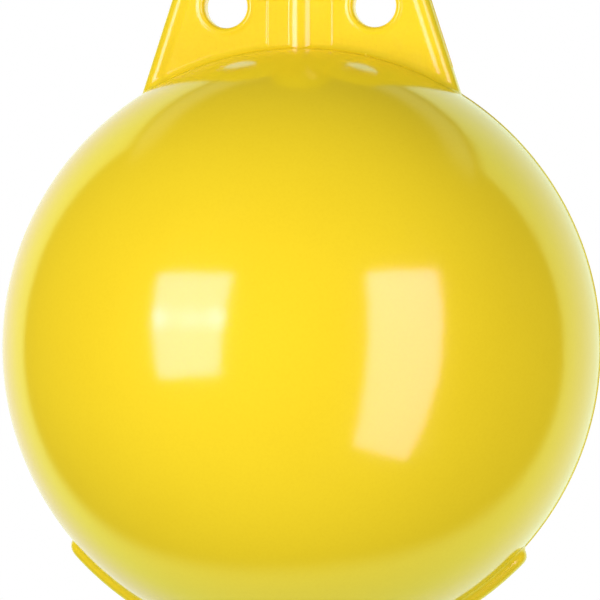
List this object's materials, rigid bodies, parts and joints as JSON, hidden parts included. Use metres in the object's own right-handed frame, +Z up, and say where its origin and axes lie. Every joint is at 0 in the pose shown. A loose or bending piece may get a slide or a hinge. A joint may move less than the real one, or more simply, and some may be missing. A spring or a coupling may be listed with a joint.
{
  "type": "marker buoy",
  "caption": "Round yellow marker buoy, a hollow hard plastic ball with a flat double-eyed lug above for a line and a matching lug below for its mooring.",
  "frame": {"origin": "on the buoy's upright axis at the waterline, 50 mm below the ball's centre", "axes": "+Z up through the neck, +X to the right along the lugs as the picture shows them, +Y away from the viewer, the way the mould opened"},
  "size_m": [0.301, 0.3, 0.453],
  "materials": {
    "ball_yellow": "gloss",
    "lug_yellow": "gloss",
    "plug_yellow": "satin"
  },
  "bodies": {
    "root": {"front_shell": "ball_yellow", "rear_shell": "ball_yellow", "upper_foot": "lug_yellow", "upper_web": "lug_yellow", "upper_rim": "lug_yellow", "upper_channel": "lug_yellow", "upper_left_eye_collar": "lug_yellow", "upper_right_eye_collar": "lug_yellow", "neck": "lug_yellow", "neck_plug": "plug_yellow", "lower_foot": "lug_yellow", "lower_web": "lug_yellow", "lower_rim": "lug_yellow", "lower_left_eye_collar": "lug_yellow", "lower_right_eye_collar": "lug_yellow", "left_seam_bead": "lug_yellow", "right_seam_bead": "lug_yellow"}
  },
  "joints": []
}
